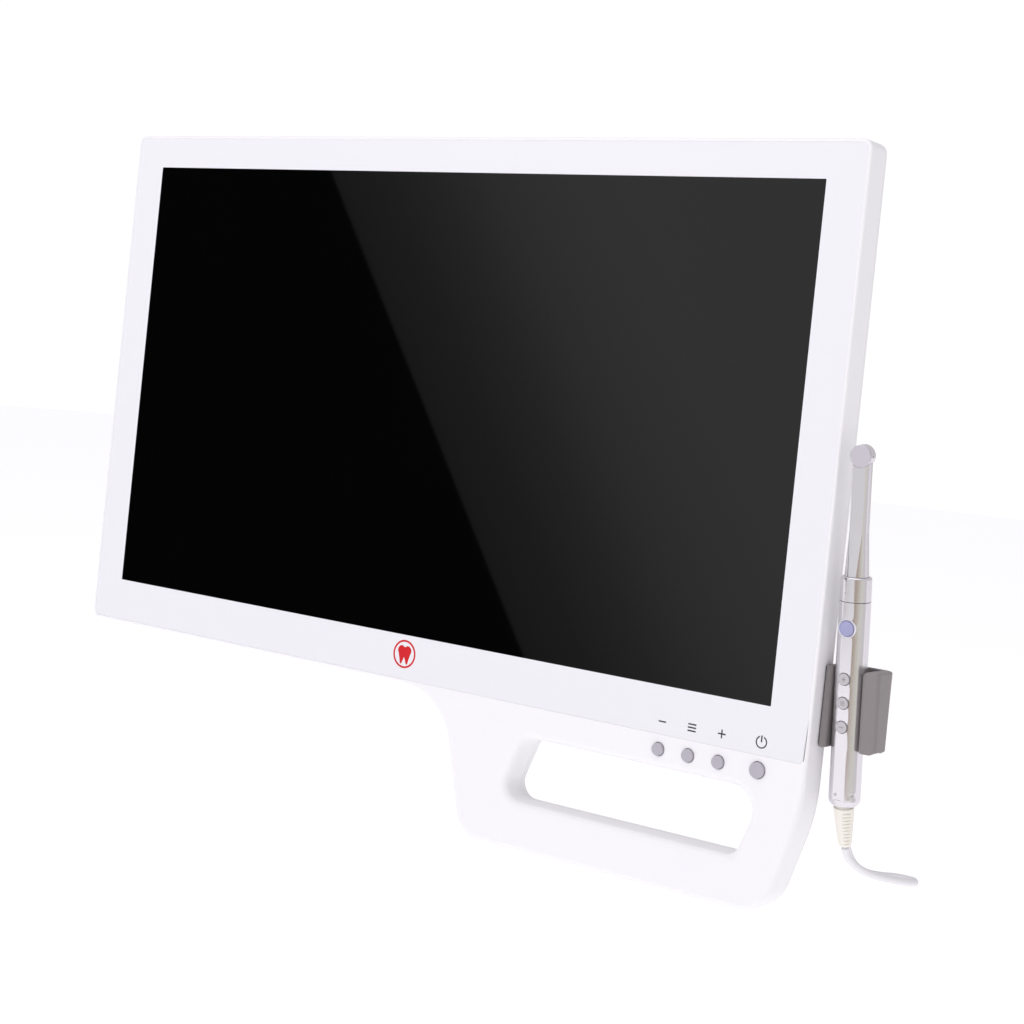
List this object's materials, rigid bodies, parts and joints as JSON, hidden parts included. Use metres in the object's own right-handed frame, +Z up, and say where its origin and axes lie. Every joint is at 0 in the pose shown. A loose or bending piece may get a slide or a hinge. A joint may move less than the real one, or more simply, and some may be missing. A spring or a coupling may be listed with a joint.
{
  "type": "intraoral camera with chairside display",
  "caption": "Wide chairside display with a carry handle and front buttons, and a wired intraoral camera handpiece in a side clip.",
  "frame": {"origin": "centre of the rear mounting pattern, on the mounting plate's outer face", "axes": "+X to the viewer's right along the display's width, +Y to the back, out of the mounting plate, +Z up"},
  "size_m": [0.6162, 0.0983, 0.4365],
  "materials": {
    "case_white": "semi-gloss moulding",
    "cover_white": "fine textured moulding",
    "front_glass": "polished",
    "border_white": "printed, behind glass",
    "panel_black": "dark picture panel",
    "sheet_white": "satin film",
    "guide_clear": "clear",
    "led_yellow": "phosphor",
    "sheet_steel": "zinc plated",
    "board_green": "solder mask",
    "chip_black": "moulded",
    "fin_aluminium": "extruded",
    "flex_amber": "polyimide",
    "screw_steel": "plated",
    "socket_metal": "plated",
    "icon_dark": "printed",
    "badge_red": "printed",
    "button_grey": "satin",
    "clip_grey": "fine textured moulding",
    "pad_grey": "foam",
    "tie_dark": "woven",
    "cord_white": "satin jacket",
    "plug_metal": "satin",
    "satin_silver": "satin lacquer",
    "cap_silver": "satin lacquer",
    "lens_glass": "coated",
    "bezel_pearl": "pearl",
    "capture_blue": "translucent",
    "key_silver": "satin",
    "relief_cream": "satin"
  },
  "bodies": {
    "monitor": {"front_housing": "case_white", "rear_cover": "cover_white", "cover_glass": "front_glass", "glass_border_print": "border_white", "lcd_panel": "panel_black", "optical_sheets": "sheet_white", "light_guide": "guide_clear", "reflector_sheet": "sheet_white", "led_strip": "led_yellow", "panel_frame": "sheet_steel", "chassis_plate": "sheet_steel", "main_board": "board_green", "heat_sink": "fin_aluminium", "power_board": "board_green", "panel_ribbon": "flex_amber", "speakers": "chip_black", "key_board": "board_green", "key_switches": "chip_black", "vesa_plate": "sheet_steel", "housing_screws": "screw_steel", "port_board": "board_green", "power_socket": "chip_black", "hdmi_socket": "socket_metal", "usb_sockets": "socket_metal", "camera_socket": "socket_metal", "panel_icons": "icon_dark", "badge_mark": "badge_red", "holder_clip": "clip_grey", "holder_pad": "pad_grey", "holder_screws": "screw_steel", "cable_hook": "clip_grey", "cable_tie": "tie_dark", "cord_lead": "cord_white", "cord_coil": "cord_white", "cord_tail": "cord_white", "cord_plug": "plug_metal"},
    "handpiece": {"head_shell": "satin_silver", "head_cap": "cap_silver", "lens_window": "lens_glass", "lens_barrel": "chip_black", "led_ring": "led_yellow", "sensor_board": "board_green", "neck_tube": "satin_silver", "collar_ring": "satin_silver", "body_shell": "satin_silver", "capture_bezel": "bezel_pearl", "control_board": "board_green", "control_switches": "chip_black", "signal_flex": "flex_amber", "end_cap_pins": "screw_steel", "strain_relief": "relief_cream", "inner_cable": "cord_white"},
    "button_minus": {"button_minus": "button_grey"},
    "button_menu": {"button_menu": "button_grey"},
    "button_plus": {"button_plus": "button_grey"},
    "button_power": {"button_power": "button_grey"},
    "capture_button": {"capture_button": "capture_blue"},
    "key_plus": {"key_plus": "key_silver"},
    "key_menu": {"key_menu": "key_silver"},
    "key_minus": {"key_minus": "key_silver"}
  },
  "joints": [
    {"name": "handpiece_release", "type": "slide", "parent": "monitor", "child": "handpiece", "axis": [0, -1, 0], "range_m": [0, 0.03]},
    {"name": "minus_press", "type": "slide", "parent": "monitor", "child": "button_minus", "axis": [0, 1, 0], "range_m": [0, 0.0008], "stiffness_N_per_m": 400},
    {"name": "menu_press", "type": "slide", "parent": "monitor", "child": "button_menu", "axis": [0, 1, 0], "range_m": [0, 0.0008], "stiffness_N_per_m": 400},
    {"name": "plus_press", "type": "slide", "parent": "monitor", "child": "button_plus", "axis": [0, 1, 0], "range_m": [0, 0.0008], "stiffness_N_per_m": 400},
    {"name": "power_press", "type": "slide", "parent": "monitor", "child": "button_power", "axis": [0, 1, 0], "range_m": [0, 0.0008], "stiffness_N_per_m": 400},
    {"name": "capture_press", "type": "slide", "parent": "handpiece", "child": "capture_button", "axis": [0, 0.9936, 0.1132], "range_m": [0, 0.0005], "stiffness_N_per_m": 300},
    {"name": "key_plus_press", "type": "slide", "parent": "handpiece", "child": "key_plus", "axis": [0, 0.9936, 0.1132], "range_m": [0, 0.0005], "stiffness_N_per_m": 300},
    {"name": "key_menu_press", "type": "slide", "parent": "handpiece", "child": "key_menu", "axis": [0, 0.9936, 0.1132], "range_m": [0, 0.0005], "stiffness_N_per_m": 300},
    {"name": "key_minus_press", "type": "slide", "parent": "handpiece", "child": "key_minus", "axis": [0, 0.9936, 0.1132], "range_m": [0, 0.0005], "stiffness_N_per_m": 300}
  ]
}
